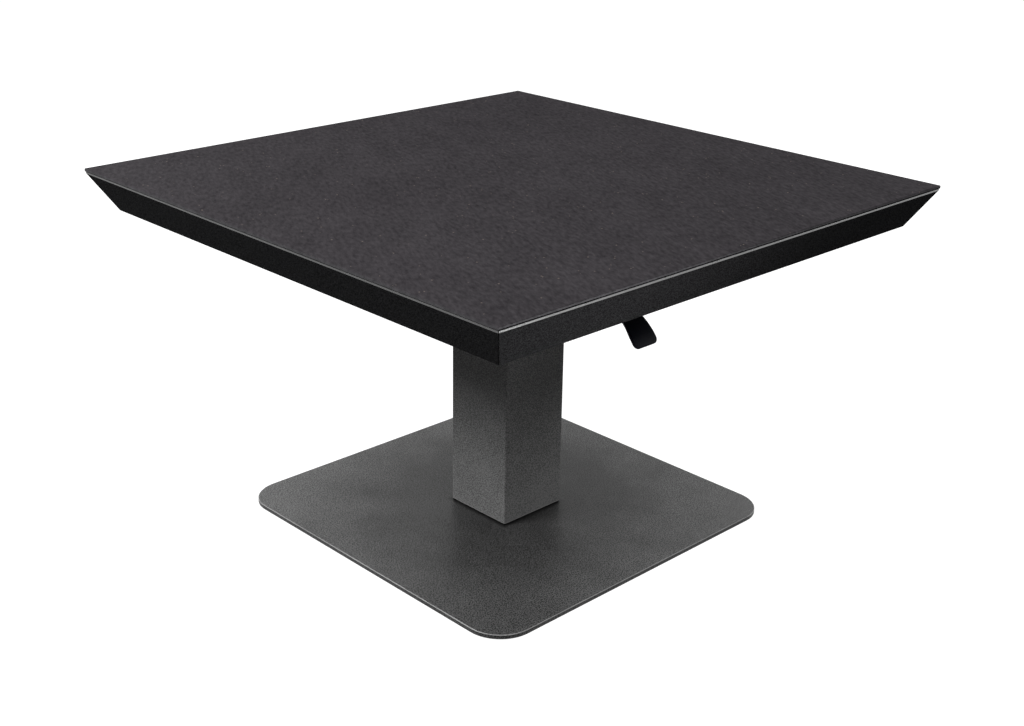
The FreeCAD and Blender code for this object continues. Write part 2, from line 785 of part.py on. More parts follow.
def make_release_bracket():
    """Hat section under the mounting plate: the web takes the rod, the cheeks the lever's pin."""
    body = new_body("release_bracket")
    throat = size.bracket_throat / 2
    brim = cheek_outer + size.bracket_flange
    under = plate_bottom - size.bracket_metal
    section = sketch_on(body, "XZ_Plane", bracket_front)
    polygon(section, [
        (-brim, plate_bottom),
        (-brim, under),
        (-cheek_outer, under),
        (-cheek_outer, web_bottom),
        (cheek_outer, web_bottom),
        (cheek_outer, under),
        (brim, under),
        (brim, plate_bottom),
        (throat, plate_bottom),
        (throat, web_top),
        (-throat, web_top),
        (-throat, plate_bottom),
    ])
    pad(body, section, bracket_front + size.bracket_rear, against=True)
    dress(
        body,
        "Fillet",
        lambda edge: runs_along(edge, "y") and spans(edge, "z", web_bottom),
        size.bracket_bend,
    )
    rod_hole = sketch_on(body, "XY_Plane", web_bottom - 1)
    circle(rod_hole, size.rod_diameter / 2 + size.nut_gap)
    pocket(body, rod_hole, size.bracket_metal + 2, against=True)
    flange_holes = sketch_on(body, "XY_Plane", under - 1)
    for across, along in bracket_screw_places():
        circle(flange_holes, screw_hole, across, along)
    pocket(body, flange_holes, size.bracket_metal + 2, against=True)
    pin_holes = sketch_on(body, "YZ_Plane")
    circle(pin_holes, size.pivot_diameter / 2 + size.pivot_fit, -size.pivot_back, pivot_height)
    pocket(body, pin_holes, size.bracket_throat * 2, centred=True)


def make_piston_rod():
    """Hollow rod, bevelled at its upper end."""
    outer = size.rod_diameter / 2
    bore = size.pin_diameter / 2 + size.pin_fit
    turned("piston_rod", [
        (bore, rod_bottom),
        (outer, rod_bottom),
        (outer, rod_top - 1),
        (outer - 1, rod_top),
        (bore, rod_top),
    ])


def make_piston():
    """Piston on the rod's lower end."""
    outer = size.cylinder_diameter / 2 - size.cylinder_wall - size.rod_fit
    inner = size.rod_diameter / 2 + size.piston_press
    high = rod_bottom + size.piston_length
    turned("piston", [
        (inner, rod_bottom),
        (outer, rod_bottom),
        (outer, high),
        (inner, high),
    ])


def make_valve_pin():
    """Long pin in the rod's bore: valve head below, button above the rod's end."""
    pin = size.pin_diameter / 2
    valve = size.valve_diameter / 2
    seat = rod_bottom - size.valve_gap
    turned("valve_pin", [
        (0.0, seat - size.valve_height),
        (valve, seat - size.valve_height),
        (valve, seat),
        (pin, seat),
        (pin, pin_top),
        (0.0, pin_top),
    ])


def set_on_pivot(body):
    body.setExpression("Placement.Base.y", formula_of(-size.pivot_back))
    body.setExpression("Placement.Base.z", formula_of(pivot_height))


def make_pivot_pin():
    """Lever's pin through both cheeks."""
    body = new_body("pivot_pin")
    end = cheek_outer + size.pivot_spare
    sketch = sketch_on(body, "YZ_Plane")
    circle(sketch, size.pivot_diameter / 2)
    pad(body, sketch, end * 2, centred=True)
    dress(body, "Chamfer", lambda edge: edge.Closed, size.pivot_bevel)
    set_on_pivot(body)


def make_pivot_clips():
    """A push-on ring near each end of the lever's pin."""
    inner = size.pivot_diameter / 2 + size.clip_gap
    outer = size.clip_diameter / 2
    near = cheek_outer + size.clip_stand
    body = new_body("pivot_clips")
    for side in (1.0, -1.0):
        sketch = sketch_on(body, "XY_Plane")
        rectangle(sketch, side * near, side * (near + size.clip_thick), inner, outer)
        revolve(body, sketch, "H_Axis")
    set_on_pivot(body)


def make_pivot_spacers():
    """Spacers that keep the lever in the middle of the bracket."""
    inner = size.pivot_diameter / 2 + size.pivot_fit
    outer = size.spacer_diameter / 2
    near = size.lever_thick / 2 + size.spacer_gap
    far = size.bracket_throat / 2 - size.spacer_gap
    body = new_body("pivot_spacers")
    for side in (1.0, -1.0):
        sketch = sketch_on(body, "XY_Plane")
        rectangle(sketch, side * near, side * far, inner, outer)
        revolve(body, sketch, "H_Axis")
    set_on_pivot(body)


def make_lever_arm():
    """Plate lever: nose over the valve pin, eye on the lever's pin, long arm out of the sleeve."""
    body = new_body("lever_arm")
    eye, tip = size.lever_eye, size.lever_tip / 2
    nose_end = size.nose_half * 2.3
    nose_low = pin_top + size.nose_gap
    end_y, end_z = arm_line(size.lever_reach)
    tang_y, tang_z = arm_line(tang_start)
    sketch = sketch_on(body, "YZ_Plane")
    polygon(sketch, [
        (nose_end, pivot_height + eye * 0.45),
        (nose_end, pivot_height - eye * 0.2),
        (size.nose_half, nose_low),
        (-size.nose_half, nose_low),
        (-size.nose_half * 2.5, pivot_height - eye * 0.3),
        (eye * 0.6 - size.pivot_back, pivot_height - eye),
        (-size.pivot_back - eye * 0.8, pivot_height - eye * 1.1),
        (tang_y, tang_z - tip),
        (end_y, end_z - tip),
        (end_y, end_z + tip),
        (tang_y, tang_z + tip),
        (-size.pivot_back - eye * 0.6, pivot_height + eye * 0.8),
        (eye * 0.6 - size.pivot_back, pivot_height + eye * 0.9),
    ])
    pad(body, sketch, size.lever_thick, centred=True)
    dress(
        body,
        "Fillet",
        lambda edge: runs_along(edge, "x") and edge.CenterOfMass.y > tang_y.value + 1,
        size.lever_round,
    )
    eye_hole = sketch_on(body, "YZ_Plane")
    circle(eye_hole, size.pivot_diameter / 2 + size.pivot_fit, -size.pivot_back, pivot_height)
    pocket(body, eye_hole, size.lever_thick * 2, centred=True)
    rivet_holes = sketch_on(body, "YZ_Plane")
    for along, up in rivet_places():
        circle(rivet_holes, size.rivet_diameter / 2 + size.screw_gap, along, up)
    pocket(body, rivet_holes, size.lever_thick * 2, centred=True)


def arm_line(reach):
    """(y, z) of the arm's middle line at a level distance from the lever's pin."""
    return (-(size.pivot_back + reach), pivot_height - arm_slope * reach)


def rivet_places():
    first = size.lever_reach - size.socket_length / 2 - size.rivet_pitch / 2
    return [arm_line(first), arm_line(first + size.rivet_pitch)]


def paddle_stations():
    """The handle's cross sections from its mouth to its end.

    Each is (level distance beyond the lever plate's end, drop below the plate's line, width,
    thickness).
    """
    end, drop = size.paddle_beyond, size.paddle_drop
    neck, thick = size.paddle_neck, size.paddle_thick
    return [
        (-size.socket_length, 0.0, neck, neck - 1),
        (0.0, 0.0, neck, neck - 2),
        (end * 0.4, 0.0, size.paddle_waist * 0.88, thick * 1.2),
        (end * 0.66, drop * 0.12, size.paddle_waist, thick),
        (end * 0.85, drop * 0.52, size.paddle_width - 1, thick),
        (end, drop, size.paddle_width, thick * 0.8),
    ]


def make_lever_paddle():
    """Moulded handle: a neck over the plate's end, widening to a blade that turns down."""
    body = new_body("lever_paddle")
    stations = paddle_stations()
    spine = []
    for beyond, drop, width, thick in stations:
        along, up = arm_line(size.lever_reach + beyond)
        spine.append((along, up - drop))
    sections = []
    for step, (beyond, drop, width, thick) in enumerate(stations):
        before, after = spine[max(step - 1, 0)], spine[min(step + 1, len(spine) - 1)]
        run, rise = (amount_of(after[axis] - before[axis]) for axis in (0, 1))
        along, up = spine[step]
        section = sketch_on(body, "XZ_Plane", -along)
        lean = math.degrees(math.atan2(-rise, -run))
        section.AttachmentOffset = Placement(Vector(), Rotation(Vector(1, 0, 0), lean))
        section.setExpression("AttachmentOffset.Base.y", formula_of(up))
        rectangle(section, -width / 2, width / 2, -thick / 2, thick / 2)
        sections.append(section)
    doc.recompute()
    blade = body.newObject("PartDesign::AdditiveLoft", "AdditiveLoft")
    blade.Profile = sections[0]
    blade.Sections = sections[1:]
    doc.recompute()
    end_y, end_z = spine[-1]
    near_end = end_y + size.paddle_thick

    def end_corner(edge):
        ends = [vertex.Point for vertex in edge.Vertexes]
        return all(place.y < near_end.value for place in ends) and (
            abs(ends[0].x - ends[-1].x) < 0.001
        )

    dress(body, "Fillet", end_corner, size.paddle_round)
    dress(
        body,
        "Chamfer",
        lambda edge: edge.CenterOfMass.y < near_end.value and edge.Length > size.paddle_thick.value,
        size.paddle_bevel,
    )
    mouth_y, mouth_z = arm_line(tang_start)
    end_y, end_z = arm_line(size.lever_reach)
    tang = size.lever_tip / 2 + size.paddle_gap
    socket = sketch_on(body, "YZ_Plane")
    polygon(socket, [
        (mouth_y, mouth_z + tang),
        (end_y - size.paddle_gap, end_z + tang),
        (end_y - size.paddle_gap, end_z - tang),
        (mouth_y, mouth_z - tang),
    ])
    pocket(body, socket, size.lever_thick + size.paddle_gap * 2, centred=True)
    rivet_holes = sketch_on(body, "YZ_Plane")
    for along, up in rivet_places():
        circle(rivet_holes, size.rivet_diameter / 2 + size.screw_gap, along, up)
    pocket(body, rivet_holes, size.paddle_width, centred=True)


def make_lever_rivets():
    """Two rivets through the handle's neck and the lever plate."""
    body = new_body("lever_rivets")
    for along, up in rivet_places():
        sketch = sketch_on(body, "YZ_Plane")
        circle(sketch, size.rivet_diameter / 2, along, up)
        pad(body, sketch, size.paddle_neck, centred=True)


if __name__ == "__main__":
    make_base_plate()
    make_glide_pads()
    make_inner_tube()
    make_tube_foot()
    make_foot_bolts()
    make_upper_glide()
    make_gas_cylinder()
    make_nut("cylinder_nut", [foot_top])
    make_rod_guide()
    make_outer_sleeve()
    make_lower_glide()
    make_mounting_plate()
    plate_places = square_places(size.plate_screw_spacing)
    make_screws("plate_screws", plate_places, plate_bottom, size.plate_screw_length)
    make_core_board()
    make_bonding_sheet()
    make_top_slab()
    for side_name, turn in (("front", 0), ("right", 90), ("back", 180), ("left", 270)):
        make_rail(f"{side_name}_rail", turn)
    make_corner_keys()
    make_release_bracket()
    flange_bottom = plate_bottom - size.bracket_metal
    make_screws(
        "bracket_screws", bracket_screw_places(), flange_bottom, size.bracket_screw_length)
    make_piston_rod()
    make_piston()
    make_valve_pin()
    make_nut("rod_nuts", [web_bottom - size.nut_thick, web_top])
    make_pivot_pin()
    make_pivot_clips()
    make_pivot_spacers()
    make_lever_arm()
    make_lever_paddle()
    make_lever_rivets()

    doc.recompute()
    for item in doc.Objects:
        if any(word in item.State for word in ("Invalid", "Error")):
            raise RuntimeError(f"{item.Name} of {item.Label} failed: {item.State}")
    for body in sub_parts:
        if body.Shape.isNull() or not body.Shape.isValid():
            raise RuntimeError(f"{body.Label} has no valid shape")
    print(f"the top lifts {travel.value:.1f} mm")
    os.makedirs("parts", exist_ok=True)
    for body in sub_parts:
        body.Shape.exportStep(f"parts/{body.Label}.step")
        box = body.Shape.BoundBox
        print(f"{body.Label:18s} {len(body.Shape.Solids):3d} solids  volume {body.Shape.Volume:12.1f}"
              f"  x {box.XMin:8.2f} {box.XMax:8.2f}  y {box.YMin:8.2f} {box.YMax:8.2f}"
              f"  z {box.ZMin:8.2f} {box.ZMax:8.2f}")
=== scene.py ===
"""Telescoping pedestal table: finishes, small details, floor, light and camera."""
import math

import bmesh
import bpy
from mathutils import Matrix, Vector


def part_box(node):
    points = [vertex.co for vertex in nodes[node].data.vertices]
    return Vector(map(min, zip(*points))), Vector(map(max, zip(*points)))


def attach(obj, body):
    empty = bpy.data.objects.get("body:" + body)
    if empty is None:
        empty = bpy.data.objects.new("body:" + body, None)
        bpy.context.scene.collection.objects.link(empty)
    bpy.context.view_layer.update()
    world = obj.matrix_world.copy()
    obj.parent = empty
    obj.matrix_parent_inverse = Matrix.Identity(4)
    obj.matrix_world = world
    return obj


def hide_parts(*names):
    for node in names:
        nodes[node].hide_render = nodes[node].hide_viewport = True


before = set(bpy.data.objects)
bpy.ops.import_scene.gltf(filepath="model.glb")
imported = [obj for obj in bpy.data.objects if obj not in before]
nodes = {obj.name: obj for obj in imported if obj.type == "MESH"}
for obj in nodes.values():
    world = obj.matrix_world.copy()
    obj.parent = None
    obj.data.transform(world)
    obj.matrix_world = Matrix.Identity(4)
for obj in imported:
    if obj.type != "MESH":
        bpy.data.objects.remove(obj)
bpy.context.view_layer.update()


# ---------------------------------------------------------------- shader tools

class Signal:
    """An output of a shader node that takes part in plain arithmetic."""

    def __init__(self, graph, socket):
        self.graph = graph
        self.socket = socket

    def maths(self, operation, first, second=0.0):
        return self.graph.node("ShaderNodeMath", {"operation": operation}, {0: first, 1: second})

    def __add__(self, other):
        return self.maths("ADD", self, other)

    def __radd__(self, other):
        return self.maths("ADD", other, self)

    def __sub__(self, other):
        return self.maths("SUBTRACT", self, other)

    def __rsub__(self, other):
        return self.maths("SUBTRACT", other, self)

    def __mul__(self, other):
        return self.maths("MULTIPLY", self, other)

    def __rmul__(self, other):
        return self.maths("MULTIPLY", other, self)

    def __pow__(self, other):
        return self.maths("POWER", self, other)

    def above(self, level, soft):
        """0 well below the level and 1 well above it, with a soft step between."""
        return self.graph.node(
            "ShaderNodeMapRange",
            {"interpolation_type": "SMOOTHSTEP"},
            {"Value": self, "From Min": level - soft / 2, "From Max": level + soft / 2},
        )

    def bounded(self):
        """The signal kept between 0 and 1."""
        return self.graph.node("ShaderNodeClamp", {}, {"Value": self})

    def size(self):
        """The signal without its sign."""
        return self.maths("ABSOLUTE", self)

    def greater(self, other):
        """The greater of two signals."""
        return self.maths("MAXIMUM", self, other)


class Graph:
    """A tree of nodes that is filled from plain expressions."""

    def __init__(self, tree):
        self.tree = tree

    def node(self, kind, settings, inputs, output=0):
        """Adds a node: its settings first, then each input's value or signal."""
        made = self.tree.nodes.new(kind)
        for name, value in settings.items():
            setattr(made, name, value)
        for key, value in inputs.items():
            if isinstance(value, Signal):
                self.tree.links.new(value.socket, made.inputs[key])
            else:
                made.inputs[key].default_value = value
        return Signal(self, made.outputs[output])

    def outlets(self, kind, inputs):
        """Adds a node and gives all its outputs, by their names."""
        outputs = self.node(kind, {}, inputs).socket.node.outputs
        return {socket.name: Signal(self, socket) for socket in outputs}

    def in_sight(self):
        """1 for what is seen directly, mirrored or through glass, and 0 for light it gives."""
        rays = self.outlets("ShaderNodeLightPath", {})
        seen = rays["Is Camera Ray"].greater(rays["Is Glossy Ray"])
        return seen.greater(rays["Is Transmission Ray"])


class Finish(Graph):
    """One finish of the table, built from shader nodes."""

    def __init__(self, name, **plain):
        self.material = bpy.data.materials.new(name)
        self.material.use_nodes = True
        super().__init__(self.material.node_tree)
        self.shader = self.tree.nodes["Principled BSDF"]
        for socket, value in plain.items():
            self.shader.inputs[socket.replace("_", " ")].default_value = value

    def place(self):
        """Position on the piece at rest, in metres."""
        return self.node("ShaderNodeTexCoord", {}, {}, "Object")

    def parts(self, place):
        """The position's three distances: across, along and up."""
        return list(self.outlets("ShaderNodeSeparateXYZ", {0: place}).values())

    def stretched(self, place, lengths, turn=0.0):
        """Place for a pattern that is drawn out along each axis, after a level turn in degrees."""
        return self.node(
            "ShaderNodeMapping",
            {"vector_type": "TEXTURE"},
            {"Vector": place, "Rotation": (0.0, 0.0, math.radians(turn)), "Scale": lengths},
        )

    def noise(self, place, scale, detail=2.0, roughness=0.5):
        """Cloudy pattern of 0 to 1; its patches are about 1 / scale metres wide."""
        inputs = {"Vector": place, "Scale": scale, "Detail": detail, "Roughness": roughness}
        return self.node("ShaderNodeTexNoise", {}, inputs)

    def cells(self, place, scale):
        """Distance to the nearest of scattered points."""
        return self.node("ShaderNodeTexVoronoi", {}, {"Vector": place, "Scale": scale})

    def blend(self, factor, low, high):
        """Colour mixed from low to high."""
        inputs = {0: factor, 6: low, 7: high}
        return self.node("ShaderNodeMix", {"data_type": "RGBA"}, inputs, 2)

    def range(self, value, low, high):
        """A signal of 0 to 1 spread from low to high."""
        return value * (high - low) + low

    def set(self, socket, signal):
        """Feeds a signal to a socket of the finish's shader."""
        self.tree.links.new(signal.socket, self.shader.inputs[socket])

    def relief(self, height, depth):
        """Height of 0 to 1 as small relief of the given depth in metres."""
        bump = self.node("ShaderNodeBump", {}, {"Height": height, "Distance": depth})
        self.set("Normal", bump)


def grey(level, blue=1.0, red=1.0):
    """Grey colour, tinted by its share of blue and red."""
    return (level * red, level, level * blue, 1.0)


# ---------------------------------------------------------------- finishes of the table

def stone_finish():
    """Sintered stone: near black, mottled, with faint slanting drifts and a few pale grains; its
    cut edges are painted paler as painted light, with painted shade along their foot.
    """
    arris_height, joint_shade_height = 0.4853, 0.4824
    joint_shade_rise = 0.0009  # the painted joint shade is so much wider along the front and back edges
    stone = Finish("stone", Specular_IOR_Level=0.001)
    place = stone.place()
    across, along, up = stone.parts(place)
    slant = stone.stretched(place, (1.0, 2.8, 1.0), -28.0)
    drift = stone.noise(slant, 38.0, 3.0, 0.6)
    mottle = stone.noise(slant, 210.0, 3.0, 0.6)
    cloud = stone.noise(place, 5.5, 4.0, 0.55)
    tone = (drift - 0.5) * 0.55 + (cloud - 0.5) * 0.3 + (mottle - 0.5) * 1.6 + 0.5
    face = stone.blend(tone.bounded(), grey(0.0175, 1.11, 1.09), grey(0.050, 1.09, 1.09))
    speck = 1.0 - stone.cells(place, 170.0).above(0.18, 0.08)
    rare = stone.noise(place, 90.0, 0.0).above(0.71, 0.04)
    face = stone.blend(speck * rare, face, (0.125, 0.105, 0.095, 1.0))
    # Painted light: the cut edges take a paler copy of the face's tone, so that they read about as
    # bright as the lit face.
    cut = stone.blend(tone.bounded(), grey(0.030, 1.06, 1.03), grey(0.070, 1.06, 1.03))
    front = (along.size() - across.size()).above(0.0, 0.001)
    # Painted shade: the lowest strip of the cut edges is near black, standing in for the joint's
    # shade under the stone, and wider along the front and back edges.
    painted_joint_shade = 1.0 - (up - front * joint_shade_rise).above(joint_shade_height, 0.0001)
    cut = stone.blend(painted_joint_shade, cut, grey(0.004))
    side = 1.0 - up.above(arris_height, 0.0001)
    stone.set("Base Color", stone.blend(side, face, cut))
    stone.set("Roughness", stone.range(mottle, 0.52, 0.72))
    stone.relief(mottle + drift * 0.3, 0.00008)
    return stone.material


def frame_finish():
    """Powder-coated rails with a brushed metal edge where the upper lip meets the stone; that edge
    is painted lighter along the front and back, and shade is painted along the mitres.
    """
    lip_height, mitre_width = 0.4790, 0.0006
    rails = Finish("rail_coat", Specular_IOR_Level=0.0)
    place = rails.place()
    across, along, up = rails.parts(place)
    corner = along.size() - across.size()
    mitre_shade_mask = 1.0 - corner.size().above(mitre_width, mitre_width)
    front = corner.above(0.0, 0.001)
    lip = up.above(lip_height, 0.0002) * (1.0 - mitre_shade_mask)
    sand = rails.noise(place, 620.0, 2.0, 0.6)
    wear = rails.noise(place, 38.0, 4.0, 0.6)
    scratch = rails.noise(rails.stretched(place, (14.0, 14.0, 1.0)), 2900.0, 3.0, 0.6)
    grain = ((sand - 0.5) * 3.5 + 0.5).bounded()
    coat = rails.blend(grain, grey(0.004, 1.05), grey(0.023, 1.04))
    # Painted shade: a near-black line along each mitre seam stands in for the shade in the joint.
    coat = rails.blend(mitre_shade_mask * 0.9, coat, grey(0.001))
    # Painted light: the lip metal along the front and back edges is painted lighter than along the
    # left and right edges.
    lip_metal_sides = rails.blend(scratch, grey(0.055), grey(0.115))
    lip_metal_painted_lit = rails.blend(scratch, grey(0.11), grey(0.23))
    metal = rails.blend(front, lip_metal_sides, lip_metal_painted_lit)
    rails.set("Base Color", rails.blend(lip, coat, metal))
    rails.set("Metallic", lip * 0.95)
    rails.set("Roughness", rails.range(sand, 0.42, 0.6) - lip * (wear * 0.3 + 0.05))
    rails.relief(sand, 0.00012)
    return rails.material


def sand_of(powder):
    """Fine sand texture that all the powder coats share."""
    return powder.noise(powder.place(), 640.0, 0.5, 0.6)


def cloud_of(powder):
    """Broad unevenness that all the powder coats share."""
    return powder.noise(powder.place(), 9.0, 4.0, 0.6)


def powder_coat(powder, dark, light, grain, depth, painted_light=0.0):
    """Colour of a sand-textured powder coat, whose gloss and relief it sets too; its last argument
    shifts the tone as painted light and shade.
    """
    sand, cloud = sand_of(powder), cloud_of(powder)
    lumps = powder.cells(powder.place(), 620.0)
    tone = (sand - 0.5) * grain + (cloud - 0.5) * 0.9 + 0.5 + painted_light
    powder.set("Roughness", powder.range(sand, 0.30, 0.52) + (cloud - 0.5) * 0.12)
    powder.relief(sand * 0.7 + lumps * 0.5, depth)
    return powder.blend(tone.bounded(), grey(dark), grey(light))


def painted_arris_highlight(powder, coat, low, high):
    """The coat's colour with a painted highlight along an arris between two heights, stronger here
    and there.
    """
    up = powder.parts(powder.place())[2]
    arris = up.above(low, 0.0001) * (1.0 - up.above(high, 0.00002))
    highlight_strength = powder.range(cloud_of(powder), 0.3, 1.0)
    return powder.blend(arris * highlight_strength, coat, grey(0.27))


def column_finish():
    """Powder coat of the sleeve, painted paler toward the foot and darker toward the top as
    painted light and shade, with a painted highlight on its lower arris.
    """
    arris_low, arris_high = 0.0098, 0.0107
    light_fade_height, light_fade_rate = 0.13, 1.3
    column = Finish("column_coat", Specular_IOR_Level=0.02)
    up = column.parts(column.place())[2]
    # Painted light and shade: the tone rises below 13 cm and falls above it, paler toward the foot
    # and darker toward the top.
    painted_light = (light_fade_height - up) * light_fade_rate
    coat = powder_coat(column, dark=0.06, light=0.155, grain=2.8, depth=0.00022, painted_light=painted_light)
    # Painted highlight along the sleeve's lower arris.
    column.set("Base Color", painted_arris_highlight(column, coat, arris_low, arris_high))
    return column.material


def slide_finish():
    """Thin dark coat of the inner tube, smoothed by the glides."""
    slide = Finish("slide_coat", Specular_IOR_Level=0.3)
    coat = powder_coat(slide, dark=0.004, light=0.02, grain=2.0, depth=0.00025)
    slide.set("Base Color", coat)
    return slide.material


def plate_finish():
    """Powder coat of the base plate: painted shade round the column's foot, a painted highlight on
    its arris, and wiped hazy toward the rim.
    """
    arris_low, arris_high = 0.0071, 0.00795
    contact_shade_reach, haze_reach, haze_rise = 0.0595, 0.22, 0.20
    plate = Finish("plate_coat", Specular_IOR_Level=0.17, Coat_Roughness=0.62)
    across, along, up = plate.parts(plate.place())
    coat = powder_coat(plate, dark=0.0, light=0.05, grain=4.2, depth=0.00019)
    # Painted highlight along the plate's upper arris.
    coat = painted_arris_highlight(plate, coat, arris_low, arris_high)
    # Painted shade: a near-black band on the plate round the column's foot stands in for its
    # contact shadow.
    painted_contact_shade = 1.0 - across.size().greater(along.size()).above(contact_shade_reach, 0.009)
    plate.set("Base Color", plate.blend(painted_contact_shade * 0.85, coat, grey(0.002)))
    wiped = plate.noise(plate.place(), 14.0, 4.0, 0.6)
    reach = (across * across + along * along) ** 0.5 + (wiped - 0.5) * 0.26
    haze = reach.above(haze_reach, haze_rise) * up.above(0.0075, 0.0004)
    plate.set("Coat Weight", haze * plate.range(sand_of(plate), -1.2, 2.24).bounded())
    return plate.material


def sheet_finish():
    """Cured black adhesive sheet."""
    sheet = Finish("bonding_sheet", Specular_IOR_Level=0.3)
    ripple = sheet.noise(sheet.place(), 420.0, 3.0, 0.6)
    sheet.set("Base Color", sheet.blend(ripple, grey(0.004), grey(0.012)))
    sheet.set("Roughness", sheet.range(ripple, 0.55, 0.85))
    sheet.relief(ripple, 0.0001)
    return sheet.material


def board_finish():
    """Black-dyed fibreboard with short pale fibres."""
    board = Finish("fibreboard", Specular_IOR_Level=0.25)
    place = board.place()
    patch = board.noise(place, 60.0, 2.0)
    fibre = board.noise(board.stretched(place, (1.0, 4.5, 1.0)), 520.0, 4.0, 0.7)
    cross = board.noise(board.stretched(place, (4.5, 1.0, 1.0)), 520.0, 4.0, 0.7)
    tone = ((fibre + cross) * 0.9 + patch * 0.25 - 0.55).bounded()
    board.set("Base Color", board.blend(tone, grey(0.022, 0.85, 1.15), grey(0.082, 0.8, 1.2)))
    board.set("Roughness", board.range(fibre, 0.6, 0.85))
    board.relief(fibre + cross, 0.00012)
    return board.material


def black_steel_finish():
    """Black-coated pressed steel with a slight satin sheen."""
    steel = Finish("black_steel", Specular_IOR_Level=0.5)
    place = steel.place()
    peel = steel.noise(place, 300.0, 3.0, 0.5)
    smear = steel.noise(place, 30.0, 4.0, 0.6)
    steel.set("Base Color", steel.blend(smear, grey(0.010, 1.1), grey(0.026, 1.05)))
    steel.set("Roughness", steel.range(smear, 0.32, 0.5))
    steel.relief(peel, 0.00006)
    return steel.material


def rubber_finish():
    """Dark rubber pads with a fine tread."""
    rubber = Finish("pad_rubber", Specular_IOR_Level=0.25)
    place = rubber.place()
    grain = rubber.noise(place, 900.0, 2.0, 0.6)
    tread = rubber.node(
        "ShaderNodeTexWave",
        {"wave_type": "BANDS", "bands_direction": "DIAGONAL"},
        {"Vector": place, "Scale": 160.0, "Distortion": 0.4},
    )
    rubber.set("Base Color", rubber.blend(grain, grey(0.012), grey(0.034)))
    rubber.set("Roughness", rubber.range(grain, 0.65, 0.9))
    rubber.relief(tread + grain * 0.4, 0.0003)
    return rubber.material


def glide_finish():
    """Moulded black nylon."""
    nylon = Finish("glide_nylon", Specular_IOR_Level=0.03)
    place = nylon.place()
    flow = nylon.noise(nylon.stretched(place, (1.0, 1.0, 5.0)), 90.0, 4.0, 0.6)
    pores = nylon.noise(place, 850.0, 2.0, 0.5)
    nylon.set("Base Color", nylon.blend(flow, grey(0.0015), grey(0.006)))
    nylon.set("Roughness", nylon.range(flow, 0.34, 0.52))
    nylon.relief(pores, 0.00006)
    return nylon.material


def zinc_finish():
    """Zinc-plated steel, faintly yellow and blue where the passivation is uneven."""
    zinc = Finish("zinc_plate", Metallic=1.0)
    place = zinc.place()
    spangle = zinc.cells(place, 150.0)
    stain = zinc.noise(place, 70.0, 4.0, 0.6)
    fine = zinc.noise(place, 900.0, 2.0, 0.6)
    zinc.set("Base Color", zinc.blend(stain, (0.50, 0.50, 0.47, 1.0), (0.44, 0.47, 0.52, 1.0)))
    zinc.set("Roughness", zinc.range(stain * 0.6 + spangle * 0.4, 0.24, 0.46))
    zinc.relief(fine, 0.00005)
    return zinc.material


def bright_finish():
    """Hard-chromed and ground steel, ground round the rod."""
    chrome = Finish("ground_chrome", Metallic=1.0)
    place = chrome.place()
    rings = chrome.noise(chrome.stretched(place, (20.0, 20.0, 1.0)), 2600.0, 2.0, 0.6)
    film = chrome.noise(place, 60.0, 3.0, 0.6)
    chrome.set("Base Color", chrome.blend(film, grey(0.56, 1.01), grey(0.64, 1.02)))
    chrome.set("Roughness", chrome.range(film * 0.7 + rings * 0.3, 0.08, 0.26))
    chrome.relief(rings, 0.00002)
    return chrome.material


def paint_finish():
    """Glossy black paint of the gas spring's tube."""
    paint = Finish("cylinder_paint", Coat_Weight=0.4, Coat_Roughness=0.12)
    place = paint.place()
    peel = paint.noise(place, 240.0, 2.0, 0.5)
    dust = paint.noise(place, 45.0, 4.0, 0.6)
    paint.set("Base Color", paint.blend(dust, grey(0.014), grey(0.028)))
    paint.set("Roughness", paint.range(dust, 0.2, 0.36))
    paint.relief(peel, 0.00008)
    return paint.material


def handle_finish():
    """Moulded near-black plastic with a spark-eroded grain."""
    handle = Finish("handle_plastic", Specular_IOR_Level=0.035)
    place = handle.place()
    erode = handle.noise(place, 1100.0, 2.0, 0.6)
    shine = handle.noise(place, 60.0, 3.0, 0.6)
    dark, light = (0.0016, 0.0018, 0.0034, 1.0), (0.0036, 0.004, 0.007, 1.0)
    handle.set("Base Color", handle.blend(shine, dark, light))
    handle.set("Roughness", handle.range(shine, 0.30, 0.44))
    handle.relief(erode, 0.00008)
    return handle.material


def weld_finish():
    """Weld bead under the powder coat."""
    weld = Finish("coated_weld", Specular_IOR_Level=0.35)
    place = weld.place()
    sand = weld.noise(place, 700.0, 2.0, 0.6)
    heat = weld.noise(place, 60.0, 3.0, 0.5)
    weld.set("Base Color", weld.blend(heat, grey(0.040), grey(0.085)))
    weld.set("Roughness", weld.range(sand, 0.36, 0.55))
    weld.relief(sand, 0.0002)
    return weld.material


finish_of_slot = {
    "stone_panel": stone_finish(),
    "joint_black": sheet_finish(),
    "board": board_finish(),
    "rail_finish": frame_finish(),
    "powder_coat": column_finish(),
    "black_steel": black_steel_finish(),
    "pad_rubber": rubber_finish(),
    "glide_plastic": glide_finish(),
    "plated_steel": zinc_finish(),
    "bright_steel": bright_finish(),
    "cylinder_paint": paint_finish(),
    "handle_plastic": handle_finish(),
}
finish_of_node = {"base_plate": plate_finish(), "inner_tube": slide_finish()}
weld_coat = weld_finish()

